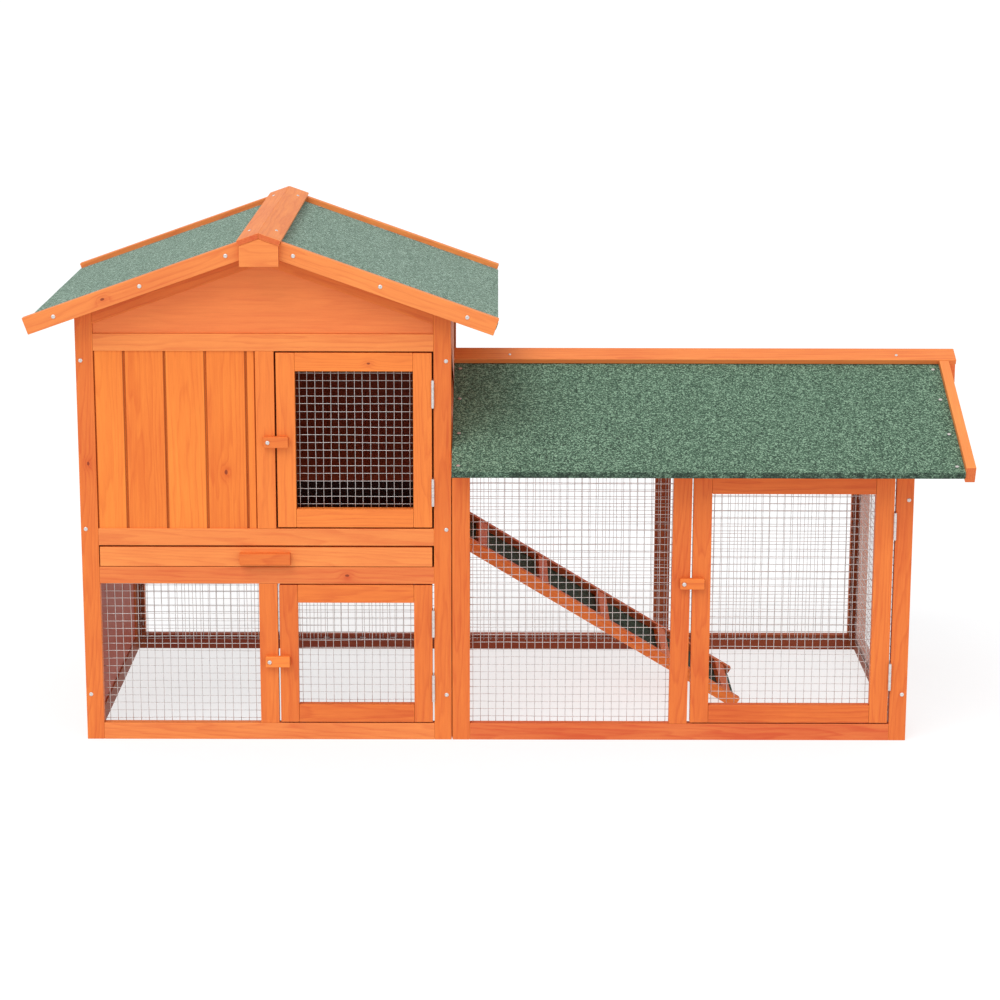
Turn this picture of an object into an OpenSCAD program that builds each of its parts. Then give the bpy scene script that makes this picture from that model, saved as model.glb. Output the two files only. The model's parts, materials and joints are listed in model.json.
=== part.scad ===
// Two-storey rabbit hutch with an attached ground-level run.
// Inside place(), X starts at the house's left face, Y at the front face and Z at the floor.

/* [House] */
// Width of the two-storey house
house_w = 600; // [560:5:660]
// Depth over the front and back frames of house and run
depth = 555; // [500:5:620]
// Top of the ridge cap above the floor
house_ridge_z = 844.5; // [820:1:880]
// Slope of the house roof in degrees
house_pitch = 19.5; // [17:0.5:22]
// Reach of the house roof down its slope, measured from the ridge
house_slope_len = 392.5; // [380:0.5:420]
// Underside of the rail that carries the tray
tray_rail_z = 265; // [250:1:275]
// Underside of the rail above the tray
mid_rail_z = 329; // [326:1:335]
// Underside of the rail above the upper door
top_rail_z = 648.5; // [640:0.5:655]

/* [Run] */
// Length of the run beside the house
run_w = 748; // [650:1:900]
// Distance from the house to the stile beside the run's door
run_stile_at = 357; // [300:1:400]
// Top of the run's ridge cap above the floor
run_ridge_z = 607.5; // [600:0.5:625]
// Slope of the run's roof in degrees
run_pitch = 21.4; // [20:0.2:22]
// Reach of the run's roof down its slope, measured from the ridge
run_slope_len = 355.8; // [350:0.2:365]
// Distance from the run's outer face to the far face of its barge boards
gable_overhang = 88; // [60:1:120]

/* [Timber] */
// Face width of posts, rails, rafters and barge boards
timber_w = 28; // [26:1:30]
// Thickness of the framing timber
timber_t = 16; // [14:1:18]
// Face width of the centre stiles and of the door frames
stile_w = 30; // [28:1:32]
// Thickness of the wall boards and ridge caps
board_t = 9; // [7:1:10]
// Thickness of the roof boards
roof_t = 10; // [8:1:12]
// Thickness of the roofing felt
felt_t = 2; // [1.5:0.5:3]
// Open joint between neighbouring wall boards
board_gap = 0.8; // [0.4:0.2:2]
// Width of the first front board, beside the corner post
first_board_w = 48.5; // [44:0.5:60]

/* [Wire mesh] */
// Spacing of the welded wires
mesh_pitch = 12.7; // [10:0.1:25.4]
// Diameter of the wires
wire_d = 0.9; // [0.7:0.1:1.4]
// Overlap of the mesh on the back of its frame
mesh_lap = 10; // [6:1:14]

/* [Doors and buttons] */
// Gap between a door and its opening
door_gap = 3; // [2:0.5:4]
// Gap on the button side of the run's door
latch_gap = 5; // [2:0.5:6]
// Length of a door hinge
hinge_len = 45; // [35:1:55]
// Outer radius of a hinge knuckle
knuckle_r = 2.5; // [2.2:0.1:3]
// Radius of a hinge pin
pin_r = 1.2; // [1:0.1:1.5]
// Length of a turn button
button_len = 40; // [36:1:44]
// Width of a turn button
button_w = 18; // [15:1:20]

/* [Ramp] */
// Slope of the ramp in degrees
ramp_pitch = 31.3; // [30:0.1:32]
// Width over the ramp's two side rails
ramp_w = 200; // [160:5:220]
// Number of cleats
cleats = 5; // [4:1:6]

/* [Hidden] */
$fn = 48;
eps = 0.01;
// Hairline between pieces that butt together
joint = 0.2;
// Hairline between the two layers of wires in a mesh, and the thickness of both
mesh_joint = 0.05;
mesh_t = 2 * wire_d + mesh_joint;
// Setback of the wall boards and of the gable panels from the outer face of their frame
board_set = 4;
front_board_set = 2;
last_board_w = 15;
gable_set = 3;
// Lap of the back meshes on the posts
back_lap = 8;

wood = [0.91, 0.50, 0.25];
wood_light = [0.96, 0.60, 0.32];
felt_green = [0.32, 0.48, 0.39];
zinc = [0.78, 0.79, 0.80];

// Vertical levels
tray_slot_z = tray_rail_z + timber_w;
upper_opening_z = mid_rail_z + timber_w;
side_top_z = 712;
runner_h = 18;
run_post_z = 475.5;
run_top_rail_z = 449;

// Plan positions
back_y = depth - timber_t;
mid_x = house_w / 2;
ridge_y = depth / 2;
run_x = house_w;
run_end = house_w + run_w;
centre_stile_x = 286.5;
door_right = house_w - timber_w - door_gap;
door_left = centre_stile_x + stile_w + door_gap;
run_stile_x = run_x + run_stile_at;
run_door_left = run_stile_x + stile_w + latch_gap;
run_back_stile_x = run_stile_x + latch_gap;
run_door_right = run_end - timber_w - door_gap;
barge_x = run_end + gable_overhang - timber_t;

// Roof build-up, measured square to the slope from the underside of the roof boards
barge_top_n = 20.5;
barge_low_n = barge_top_n - timber_w;
house_cap_n = 15.4;
run_cap_n = roof_t + felt_t + 0.4;
house_under_z = house_ridge_z - (house_cap_n + board_t) / cos(house_pitch);
run_under_z = run_ridge_z - (run_cap_n + board_t) / cos(run_pitch);
cap_reach = 28.5;
barge_out = 23;
cap_end = 1;
block_t = 12;
block_half = 31;
block_drop = 44;

// Doors
sill_gap = 2;
upper_gap = 2.5;
upper_door_z = [upper_opening_z + upper_gap, top_rail_z - upper_gap];
lower_door_z = [timber_w + sill_gap, tray_rail_z - sill_gap];
run_door_z = [timber_w + sill_gap, run_top_rail_z - door_gap];
pin_y = -2.6;
leaf_t = 1;
leaf_w = 13;
leaf_start = knuckle_r + 0.6;
leaf_gap = 1;
knuckle_gap = 0.3;
bore_clear = 0.05;
hinge_x = door_right + door_gap / 2;
run_hinge_x = run_door_right + door_gap / 2;

// Turn buttons: [pivot X, pivot Z]
upper_button = [305.5, 501.5];
lower_button = [303, 135];
run_button = [978.5, 268];
button_t = 10;
button_gap = 0.5;
button_back = 7;
button_screw_r = 2;
button_screw_in = 14;
button_edge_r = 1.5;

// Tray
tray_gap = 1.5;
tray_lift = 1;
handle_size = [82, 14, 22];
handle_chamfer = 4;
pan_h = 25;
pan_t = 1.5;
pan_depth = 505;
pan_gap = 3;

// Ramp, in its own plane: U runs down the slope from the pin and N stands square to it
ramp_y0 = 200;
ramp_leaf_x = 1.9;
ramp_leaf_in = 0.5;
ramp_pin = [run_x + ramp_leaf_x + leaf_t, tray_rail_z + leaf_start + leaf_w + ramp_leaf_in];
ramp_start = 3.4;
ramp_len = 560;
ramp_foot = 0.3;
ramp_rail_t = 16;
ramp_rail_h = 20;
ramp_low_n = ramp_leaf_x;
deck_n = ramp_leaf_x + leaf_t;
ramp_deck_t = 8;
ramp_cleat = [18, 10];
ramp_hinge_inset = 30;
ramp_first_cleat = 33.5;
ramp_cleat_pitch = 123;
doorway_y = [188, 412];
doorway_z = 480;

// Overall box, which puts the origin under the middle of the whole hutch
low_x = mid_x - house_slope_len * cos(house_pitch) - barge_top_n * sin(house_pitch);
high_x = barge_x + timber_t + block_t + cap_end;

module place() translate([-(low_x + high_x) / 2, -ridge_y, 0]) children();

module block(low, high) translate(low) cube(high - low);

// A point U down the slope and N out from it, as [distance from the ridge, height]
function on_slope(u, n, a, z) = [u * cos(a) + n * sin(a), z - u * sin(a) + n * cos(a)];

// The point at N on a plumb cut X away from the ridge
function at_ridge(n, a, z, x = joint / 2) = [x, z + n / cos(a) - x * tan(a)];

// A profile in distance from the ridge and height, run along Y from y0 to y1
module along_y(y0, y1) translate([0, y1, 0]) rotate([90, 0, 0]) linear_extrude(y1 - y0) children();

// Both slopes of the house roof, from y0 to y1
module house_slopes(y0, y1)
  for (s = [0, 1]) translate([mid_x, 0, 0]) mirror([s, 0, 0]) along_y(y0, y1) children();

// Both slopes of the run's roof, from x0 to x1
module run_slopes(x0, x1)
  for (s = [0, 1]) translate([x0, ridge_y, 0]) mirror([0, s, 0])
    rotate([90, 0, 90]) linear_extrude(x1 - x0) children();

// A layer from n0 to n1 that ends square at u1
module layer(n0, n1, u1, a, z)
  polygon([at_ridge(n0, a, z), on_slope(u1, n0, a, z), on_slope(u1, n1, a, z), at_ridge(n1, a, z)]);

// Felt over the roof boards, folded down over the eaves edge
module felt_profile(u1, a, z) polygon([
  at_ridge(roof_t, a, z), on_slope(u1, roof_t, a, z), on_slope(u1, 0, a, z),
  on_slope(u1 + felt_t, 0, a, z), on_slope(u1 + felt_t, roof_t + felt_t, a, z),
  at_ridge(roof_t + felt_t, a, z)
]);

// A barge board, notched at the top for the ridge cap
module barge_profile(cap_n, u1, a, z) polygon([
  at_ridge(barge_low_n, a, z), on_slope(u1, barge_low_n, a, z), on_slope(u1, barge_top_n, a, z),
  on_slope(cap_reach + 0.3, barge_top_n, a, z), on_slope(cap_reach + 0.3, cap_n, a, z),
  at_ridge(cap_n, a, z)
]);

// The house-shaped block under the end of a ridge cap
module ridge_block_profile(cap_n, a, z) {
  peak = z + cap_n / cos(a);
  shoulder = peak - block_half * tan(a);
  polygon([
    [-block_half, peak - block_drop], [block_half, peak - block_drop],
    [block_half, shoulder], [0, peak], [-block_half, shoulder]
  ]);
}

// A rafter between the ridge and a plumb cut at the given distance
module rafter_profile(reach, a, z) polygon([
  at_ridge(0, a, z), at_ridge(0, a, z, reach), at_ridge(-timber_w, a, z, reach), at_ridge(-timber_w, a, z)
]);

// A row of boards side by side along X, with a fine open joint between them
module boards_x(x0, x1, count, y, z0, z1) {
  w = (x1 - x0) / count;
  for (x = [x0 : w : x1 - w / 2])
    block([x + board_gap / 2, y, z0], [x + w - board_gap / 2, y + board_t, z1]);
}

// The same along Y
module boards_y(y0, y1, count, x, z0, z1) {
  w = (y1 - y0) / count;
  for (y = [y0 : w : y1 - w / 2])
    block([x, y + board_gap / 2, z0], [x + board_t, y + w - board_gap / 2, z1]);
}

// Parallel wires joined by a selvage strip at both ends, lying in the XY plane
module wires(span, len) {
  count = floor((span - wire_d) / mesh_pitch);
  first = (span - count * mesh_pitch) / 2;
  selvage = 6;
  linear_extrude(wire_d) difference() {
    translate([first - wire_d / 2, 0]) square([count * mesh_pitch + wire_d, len]);
    for (i = [0 : count - 1])
      translate([first + i * mesh_pitch + wire_d / 2, selvage])
        square([mesh_pitch - wire_d, len - 2 * selvage]);
  }
}

// Welded mesh of width w and height h, standing on the XZ plane with its wires behind it
module mesh(w, h) {
  translate([0, wire_d, 0]) rotate([90, 0, 0]) wires(w, h);
  translate([0, mesh_t, h]) rotate([90, 90, 0]) wires(h, w);
}

// A door frame between X x[0] and x[1] and Z z[0] and z[1]: stiles with the rails between them
module door_frame(x, z) {
  for (left = [x[0], x[1] - stile_w]) block([left, 0, z[0]], [left + stile_w, timber_t, z[1]]);
  for (low = [z[0], z[1] - stile_w])
    block([x[0] + stile_w + joint, 0, low], [x[1] - stile_w - joint, timber_t, low + stile_w]);
}

// Mesh on the back of a door
module door_mesh(x, z) {
  in = stile_w - mesh_lap;
  translate([x[0] + in, timber_t, z[0] + in]) mesh(x[1] - x[0] - 2 * in, z[1] - z[0] - 2 * in);
}

// One leaf of a butt hinge, its pin along Z and its plate towards +Y from plate_x
module hinge_leaf(plate_x, inner) {
  third = hinge_len / 3;
  spans = inner ? [[third + knuckle_gap, 2 * third - knuckle_gap]] : [[0, third], [2 * third, hinge_len]];
  difference() {
    union() {
      translate([plate_x, leaf_start, 0]) cube([leaf_t, leaf_w, hinge_len]);
      for (s = spans) translate([0, 0, s[0]]) {
        cylinder(r = knuckle_r, h = s[1] - s[0]);
        translate([plate_x, 0, 0]) cube([leaf_t, leaf_start + eps, s[1] - s[0]]);
      }
    }
    translate([0, 0, -1]) cylinder(r = pin_r + bore_clear, h = hinge_len + 2);
  }
}

module door_leaf() hinge_leaf(-leaf_gap / 2 - leaf_t, true);
module post_leaf() hinge_leaf(leaf_gap / 2, false);
module hinge_pin() cylinder(r = pin_r, h = hinge_len);

// Heights of a door's two hinges
upper_hinges = [395.5, 557];
lower_hinges = [66, 176];
run_hinges = [87, 341];

module at_hinges(x, heights) for (z = heights) translate([x, pin_y, z]) children();

// The ramp's hinge lines: pin along Y, plate hanging or lying away from it
module at_ramp_hinges()
  for (y = [ramp_y0 + ramp_hinge_inset, ramp_y0 + ramp_w - ramp_hinge_inset - hinge_len])
    translate([ramp_pin[0], y, ramp_pin[1]]) children();

// A domed head of radius r and height h
module round_head(r, h) {
  dome = (r * r + h * h) / (2 * h);
  intersection() {
    translate([0, 0, h - dome]) sphere(r = dome);
    cylinder(r = r, h = h);
  }
}

// A round-headed wood screw whose head stands on the XY plane
module screw(len, head_r) {
  translate([0, 0, -len]) cylinder(r = screw_r, h = len + eps);
  round_head(head_r, screw_head_h);
}

screw_r = 1.8;
screw_len = 26;
screw_head_r = 3.4;
screw_head_h = 1.8;
module screw_front(x, y, z) translate([x, y, z]) rotate([90, 0, 0]) screw(screw_len, screw_head_r);
module screw_back(x, y, z) translate([x, y, z]) rotate([-90, 0, 0]) screw(screw_len, screw_head_r);

// Turn button, drawn about its pivot and running towards +X
module turn_button() rotate([90, 0, 0]) difference() {
  linear_extrude(button_t) offset(button_edge_r) offset(-button_edge_r)
    translate([-button_back, -button_w / 2]) square([button_len, button_w]);
  translate([0, 0, -1]) cylinder(r = button_screw_r + bore_clear, h = button_t + 2);
}

// Things drawn on the ramp's own axes: U down the slope, Y across, N square to it
module on_ramp() translate([ramp_pin[0], ramp_y0, ramp_pin[1]]) rotate([0, ramp_pitch, 0]) children();

// The same, with the foot cut level just above the ground
module ramp_timber() intersection() {
  on_ramp() children();
  block([run_x, ramp_y0 - 1, ramp_foot], [run_end, ramp_y0 + ramp_w + 1, run_top_rail_z]);
}

// ---- House frame ----

module post_outline(x0, x1) polygon([
  [x0, 0], [x1, 0], [x1, house_under_z - abs(x1 - mid_x) * tan(house_pitch)],
  [x0, house_under_z - abs(x0 - mid_x) * tan(house_pitch)]
]);

module front_left_post() color(wood) place() along_y(0, timber_t) post_outline(0, timber_w);

module front_right_post() color(wood) place()
  along_y(0, timber_t) post_outline(house_w - timber_w, house_w);

module house_front_rails() color(wood_light) place()
  for (z = [0, tray_rail_z, mid_rail_z, top_rail_z])
    block([timber_w, 0, z], [house_w - timber_w, timber_t, z + timber_w]);

module centre_stiles() color(wood) place() {
  block([centre_stile_x, 0, upper_opening_z], [centre_stile_x + stile_w, timber_t, top_rail_z]);
  block([centre_stile_x, 0, timber_w], [centre_stile_x + stile_w, timber_t, tray_rail_z]);
}

// Four tongued boards, the first one ripped down, and a narrow strip beside the centre stile
module front_boards() color(wood_light) place() {
  first = timber_w + first_board_w;
  last = centre_stile_x - last_board_w;
  boards_x(timber_w, first, 1, front_board_set, upper_opening_z, top_rail_z);
  boards_x(first, last, 3, front_board_set, upper_opening_z, top_rail_z);
  block([last + board_gap / 2, front_board_set, upper_opening_z],
    [centre_stile_x - joint, front_board_set + board_t, top_rail_z]);
}

// Triangular panels between the top rail and the rafters
module gable_panels() color(wood) place() {
  half = mid_x - timber_w;
  low = top_rail_z + timber_w;
  for (y = [gable_set, depth - gable_set - board_t]) house_slopes(y, y + board_t) polygon([
    [0, low], [half, low], at_ridge(-timber_w, house_pitch, house_under_z, half),
    at_ridge(-timber_w, house_pitch, house_under_z, 0)
  ]);
}

module house_rafters() color(wood) place()
  for (y = [0, back_y]) house_slopes(y, y + timber_t)
    rafter_profile(mid_x - timber_w, house_pitch, house_under_z);

module house_back_posts() color(wood) place() along_y(back_y, depth) {
  post_outline(0, timber_w);
  post_outline(house_w - timber_w, house_w);
}

module house_back_rails() color(wood) place()
  for (z = [0, tray_rail_z, top_rail_z])
    block([timber_w, back_y, z], [house_w - timber_w, depth, z + timber_w]);

module back_boards() color(wood_light) place()
  boards_x(timber_w, house_w - timber_w, 8, back_y + board_set, tray_slot_z, top_rail_z);

// Stiles and rails of one side, x being its outer or inner face towards the left
module side_frame(x) {
  for (y = [timber_t, back_y - timber_w]) block([x, y, 0], [x + timber_t, y + timber_w, side_top_z]);
  for (z = [0, tray_rail_z, side_top_z - timber_w])
    block([x, timber_t + timber_w + joint, z], [x + timber_t, back_y - timber_w - joint, z + timber_w]);
}

module left_side_frame() color(wood) place() side_frame(0);

module left_side_boards() color(wood) place() {
  for (z = [[timber_w, tray_rail_z], [tray_slot_z, side_top_z - timber_w]])
    boards_y(timber_t + timber_w, back_y - timber_w, 7, board_set, z[0], z[1]);
}

module right_side_frame() color(wood) place() side_frame(house_w - timber_t);

// Boards above the run's level only, with the doorway that the ramp leads to
module right_side_boards() color(wood) place() {
  x = house_w - timber_t + board_set;
  top = side_top_z - timber_w;
  boards_y(timber_t + timber_w, doorway_y[0], 2, x, tray_slot_z, top);
  boards_y(doorway_y[0], doorway_y[1], 3, x, doorway_z, top);
  boards_y(doorway_y[1], back_y - timber_w, 2, x, tray_slot_z, top);
}

module house_front_mesh() color(zinc) place() translate([timber_w - mesh_lap, timber_t, timber_w - mesh_lap])
  mesh(centre_stile_x - timber_w + 2 * mesh_lap, tray_rail_z - timber_w + 2 * mesh_lap);

module house_back_mesh() color(zinc) place()
  translate([timber_w - back_lap, back_y - mesh_t, timber_w - mesh_lap])
    mesh(house_w - 2 * timber_w + 2 * back_lap, tray_rail_z - timber_w + 2 * mesh_lap);

module tray_runners() color(wood) place() for (x = [timber_t, house_w - timber_t - timber_w])
  block([x, timber_t, tray_slot_z - runner_h], [x + timber_w, back_y - mesh_t, tray_slot_z]);

// ---- House roof ----

roof_front = -barge_out;
roof_back = depth + barge_out;

module house_roof_boards() color(wood) place() house_slopes(roof_front, roof_back)
  layer(0, roof_t, house_slope_len, house_pitch, house_under_z);

module house_roof_felt() color(felt_green) place() house_slopes(roof_front, roof_back)
  felt_profile(house_slope_len, house_pitch, house_under_z);

module house_barge_boards() color(wood_light) place()
  for (y = [roof_front - timber_t, roof_back]) house_slopes(y, y + timber_t)
    barge_profile(house_cap_n, house_slope_len, house_pitch, house_under_z);

module house_ridge_cap() color(wood_light) place()
  house_slopes(roof_front - timber_t - block_t - cap_end, roof_back + timber_t + block_t + cap_end)
    layer(house_cap_n, house_cap_n + board_t, cap_reach, house_pitch, house_under_z);

module house_ridge_blocks() color(wood_light) place()
  for (y = [roof_front - timber_t - block_t, roof_back + timber_t]) along_y(y, y + block_t)
    translate([mid_x, 0]) ridge_block_profile(house_cap_n, house_pitch, house_under_z);

// ---- Run ----

module run_front_posts() color(wood) place() {
  block([run_x, 0, 0], [run_x + stile_w, timber_t, run_top_rail_z]);
  block([run_stile_x, 0, timber_w], [run_stile_x + stile_w, timber_t, run_top_rail_z]);
  block([run_end - timber_w, 0, 0], [run_end, timber_t, run_post_z]);
}

module run_front_rails() color(wood_light) place() {
  block([run_x + stile_w, 0, 0], [run_end - timber_w, timber_t, timber_w]);
  block([run_x, 0, run_top_rail_z], [run_end - timber_w, timber_t, run_post_z]);
}

module run_back_posts() color(wood) place() {
  block([run_x, back_y, 0], [run_x + timber_t, depth, run_post_z]);
  block([run_back_stile_x, back_y, timber_w], [run_back_stile_x + timber_w, depth, run_post_z - timber_w]);
  block([run_end - timber_w, back_y, 0], [run_end, depth, run_post_z]);
}

module run_back_rails() color(wood) place()
  for (z = [0, run_post_z - timber_w])
    block([run_x + timber_t, back_y, z], [run_end - timber_w, depth, z + timber_w]);

module run_side_frame() color(wood) place() {
  x = run_end - timber_t;
  for (y = [timber_t, back_y - timber_w]) block([x, y, 0], [run_end, y + timber_w, run_post_z]);
  for (z = [0, run_post_z - timber_w])
    block([x, timber_t + timber_w + joint, z], [run_end, back_y - timber_w - joint, z + timber_w]);
}

// Distance from the ridge at which the rafters' upper and lower edges reach the top rails
rafter_out = (run_under_z - run_post_z) / tan(run_pitch);
rafter_in = (run_under_z - timber_w / cos(run_pitch) - run_post_z) / tan(run_pitch);

// One pair against the house and one pair over the side frame
module run_rafters() color(wood) place()
  for (x = [run_x + 1, run_end - timber_t]) run_slopes(x, x + timber_t) polygon([
    at_ridge(0, run_pitch, run_under_z), [rafter_out, run_post_z], [rafter_in, run_post_z],
    at_ridge(-timber_w, run_pitch, run_under_z)
  ]);

module run_gable_panel() color(wood_light) place()
  run_slopes(run_end - gable_set - board_t, run_end - gable_set)
    polygon([[0, run_post_z], [rafter_in, run_post_z], at_ridge(-timber_w, run_pitch, run_under_z, 0)]);

module run_front_mesh() color(zinc) place()
  translate([run_x + stile_w - mesh_lap, timber_t, timber_w - mesh_lap])
    mesh(run_stile_x - run_x - stile_w + 2 * mesh_lap, run_top_rail_z - timber_w + 2 * mesh_lap);

module run_back_mesh() color(zinc) place()
  translate([run_x + timber_t - back_lap, back_y - mesh_t, timber_w - mesh_lap])
    mesh(run_w - timber_t - timber_w + 2 * back_lap, run_post_z - 2 * timber_w + 2 * mesh_lap);

module run_side_mesh() color(zinc) place()
  translate([run_end - timber_t, timber_t + timber_w - mesh_lap, timber_w - mesh_lap]) rotate([0, 0, 90])
    mesh(back_y - timber_t - 2 * timber_w + 2 * mesh_lap, run_post_z - 2 * timber_w + 2 * mesh_lap);

// ---- Run's roof ----

module run_roof_boards() color(wood) place() run_slopes(run_x + 1, barge_x)
  layer(0, roof_t, run_slope_len, run_pitch, run_under_z);

module run_roof_felt() color(felt_green) place() run_slopes(run_x + 1, barge_x)
  felt_profile(run_slope_len, run_pitch, run_under_z);

module run_barge_boards() color(wood_light) place() run_slopes(barge_x, barge_x + timber_t)
  barge_profile(run_cap_n, run_slope_len, run_pitch, run_under_z);

module run_ridge_cap() color(wood_light) place() run_slopes(run_x + 1, high_x)
  layer(run_cap_n, run_cap_n + board_t, cap_reach, run_pitch, run_under_z);

module run_ridge_block() color(wood_light) place()
  translate([barge_x + timber_t, ridge_y, 0]) rotate([90, 0, 90]) linear_extrude(block_t)
    ridge_block_profile(run_cap_n, run_pitch, run_under_z);

// ---- Fasteners ----

// Heights on the posts, and distances of the screws and tacks from the ridge
post_screw_in = 8;
post_screw_z = [77, 356, 633];
run_screw_z = [79, 407];
house_barge_screws = [53, 189.5, 326.5];
run_barge_screws = [60, 170, 290];
barge_screw_n = barge_low_n + timber_w / 2;
cap_screw_len = 14;
cap_screw_head_r = 2.6;
run_cap_screw_x = [run_x + 95, high_x - 100];
house_cap_screw_y = [roof_front + 60, roof_back - 60];
tack_r = 3;
tack_head_h = 0.8;
tack_shank_r = 0.9;
tack_len = 8;
tack_in = 12;
house_tacks = [55, 160, 270, 375];
run_tacks = [45, 140, 245, 340];

module slope_screws(side, spots, a, z) for (d = spots) {
  u = (d - barge_screw_n * sin(a)) / cos(a);
  p = on_slope(u, barge_screw_n, a, z);
  translate([side * p[0], 0, p[1]]) children();
}

module frame_screws() color(zinc) place() {
  for (x = [post_screw_in, house_w - post_screw_in], z = post_screw_z) {
    screw_front(x, 0, z);
    screw_back(x, depth, z);
  }
  for (z = run_screw_z) {
    screw_front(run_end - post_screw_in, 0, z);
    screw_back(run_end - post_screw_in, depth, z);
  }
  for (s = [-1, 1]) translate([mid_x, 0, 0]) slope_screws(s, house_barge_screws, house_pitch, house_under_z) {
    screw_front(0, roof_front - timber_t, 0);
    screw_back(0, roof_back + timber_t, 0);
  }
  for (s = [0, 1]) translate([barge_x + timber_t, ridge_y, 0]) mirror([0, s, 0]) rotate([0, 0, 90])
    slope_screws(1, run_barge_screws, run_pitch, run_under_z) screw_front(0, 0, 0);
  for (x = run_cap_screw_x) translate([x, ridge_y, 0]) cap_screws(run_cap_n, run_pitch, run_under_z);
  for (y = house_cap_screw_y)
    translate([mid_x, y, 0]) rotate([0, 0, 90]) cap_screws(house_cap_n, house_pitch, house_under_z);
}

// A screw in each leg of a cap that runs along X
module cap_screws(cap_n, a, z) for (s = [0, 1]) mirror([0, s, 0]) {
  p = on_slope(cap_reach / 2, cap_n + board_t, a, z);
  translate([0, p[0], p[1]]) rotate([-a, 0, 0]) screw(cap_screw_len, cap_screw_head_r);
}

// Broad-headed tacks along the edges of the felt
module felt_tacks() color(zinc) place() {
  for (s = [0, 1], x = [run_x + tack_in, barge_x - tack_in], u = run_tacks)
    translate([x, ridge_y, 0]) mirror([0, s, 0]) tack(u, run_pitch, run_under_z);
  for (s = [0, 1], y = [roof_front + tack_in, roof_back - tack_in], u = house_tacks)
    translate([mid_x, y, 0]) rotate([0, 0, 90]) mirror([0, s, 0]) tack(u, house_pitch, house_under_z);
}

module tack(u, a, z) {
  p = on_slope(u, roof_t + felt_t, a, z);
  translate([0, p[0], p[1]]) rotate([-a, 0, 0]) {
    cylinder(r = tack_r, h = tack_head_h);
    translate([0, 0, -tack_len]) cylinder(r = tack_shank_r, h = tack_len + eps);
  }
}

module button_screws() color(zinc) place() for (b = [upper_button, lower_button, run_button])
  translate([b[0], 0, b[1]]) rotate([90, 0, 0]) {
    head_z = button_t + 2 * button_gap;
    translate([0, 0, -button_screw_in]) cylinder(r = button_screw_r, h = button_screw_in + head_z);
    translate([0, 0, head_z]) round_head(screw_head_r, screw_head_h);
  }

// The fixed leaves of the door hinges and of the ramp's hinges
module hinge_fixed_leaves() color(zinc) place() {
  at_hinges(hinge_x, concat(upper_hinges, lower_hinges)) post_leaf();
  at_hinges(run_hinge_x, run_hinges) post_leaf();
  at_ramp_hinges() translate([0, hinge_len, 0]) rotate([90, 0, 0]) rotate([0, 0, 180])
    hinge_leaf(ramp_leaf_x, false);
}

module hinge_pins() color(zinc) place() {
  at_hinges(hinge_x, concat(upper_hinges, lower_hinges)) hinge_pin();
  at_hinges(run_hinge_x, run_hinges) hinge_pin();
  at_ramp_hinges() rotate([-90, 0, 0]) hinge_pin();
}

// ---- Doors ----

module upper_door_frame() color(wood_light) place()
  door_frame([door_left, door_right], upper_door_z);
module upper_door_mesh() color(zinc) place()
  door_mesh([door_left, door_right], upper_door_z);
module upper_door_hinges() color(zinc) place() at_hinges(hinge_x, upper_hinges) door_leaf();

module lower_door_frame() color(wood_light) place()
  door_frame([door_left, door_right], lower_door_z);
module lower_door_mesh() color(zinc) place()
  door_mesh([door_left, door_right], lower_door_z);
module lower_door_hinges() color(zinc) place() at_hinges(hinge_x, lower_hinges) door_leaf();

module run_door_frame() color(wood_light) place()
  door_frame([run_door_left, run_door_right], run_door_z);
module run_door_mesh() color(zinc) place()
  door_mesh([run_door_left, run_door_right], run_door_z);
module run_door_hinges() color(zinc) place() at_hinges(run_hinge_x, run_hinges) door_leaf();

// ---- Turn buttons ----

module at_button(b) translate([b[0], -button_gap, b[1]]) children();
module upper_turn_button() color(wood_light) place() at_button(upper_button) turn_button();
module lower_turn_button() color(wood_light) place() at_button(lower_button) turn_button();
module run_turn_button() color(wood_light) place() at_button(run_button) turn_button();

// ---- Tray ----

module tray_front() color(wood_light) place()
  block([timber_w + tray_gap, 0, tray_slot_z + tray_lift], [door_right, timber_t, mid_rail_z - pan_gap]);

module tray_handle() color(wood) place() {
  corner = [mid_x - 2 - handle_size[0] / 2, -handle_size[1], tray_slot_z + 3];
  translate(corner) difference() {
    cube(handle_size);
    translate([-1, -handle_chamfer, 0]) rotate([-45, 0, 0])
      cube([handle_size[0] + 2, 3 * handle_chamfer, 3 * handle_chamfer]);
  }
}

// A folded sheet pan behind the tray's front board
module tray_pan() color(zinc) place() {
  x0 = timber_w + pan_gap;
  x1 = house_w - timber_w - pan_gap;
  z = tray_slot_z + tray_lift;
  difference() {
    block([x0, timber_t, z], [x1, timber_t + pan_depth, z + pan_h]);
    block([x0 + pan_t, timber_t + pan_t, z + pan_t], [x1 - pan_t, timber_t + pan_depth - pan_t, z + pan_h + 1]);
  }
}

// ---- Ramp ----

module ramp_deck() color(felt_green) place() ramp_timber()
  block([ramp_start, ramp_rail_t, deck_n], [ramp_len, ramp_w - ramp_rail_t, deck_n + ramp_deck_t]);

module ramp_rails() color(wood) place() ramp_timber() {
  for (y = [0, ramp_w - ramp_rail_t])
    block([ramp_start, y, ramp_low_n], [ramp_len, y + ramp_rail_t, ramp_low_n + ramp_rail_h]);
  for (i = [0 : cleats - 1])
    translate([ramp_first_cleat + i * ramp_cleat_pitch, ramp_rail_t + joint, deck_n + ramp_deck_t])
      cube([ramp_cleat[0], ramp_w - 2 * ramp_rail_t - 2 * joint, ramp_cleat[1]]);
}

module ramp_fittings() color(zinc) place()
  at_ramp_hinges() rotate([0, ramp_pitch - 90, 0]) rotate([-90, 0, 0]) hinge_leaf(ramp_leaf_x, true);

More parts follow.
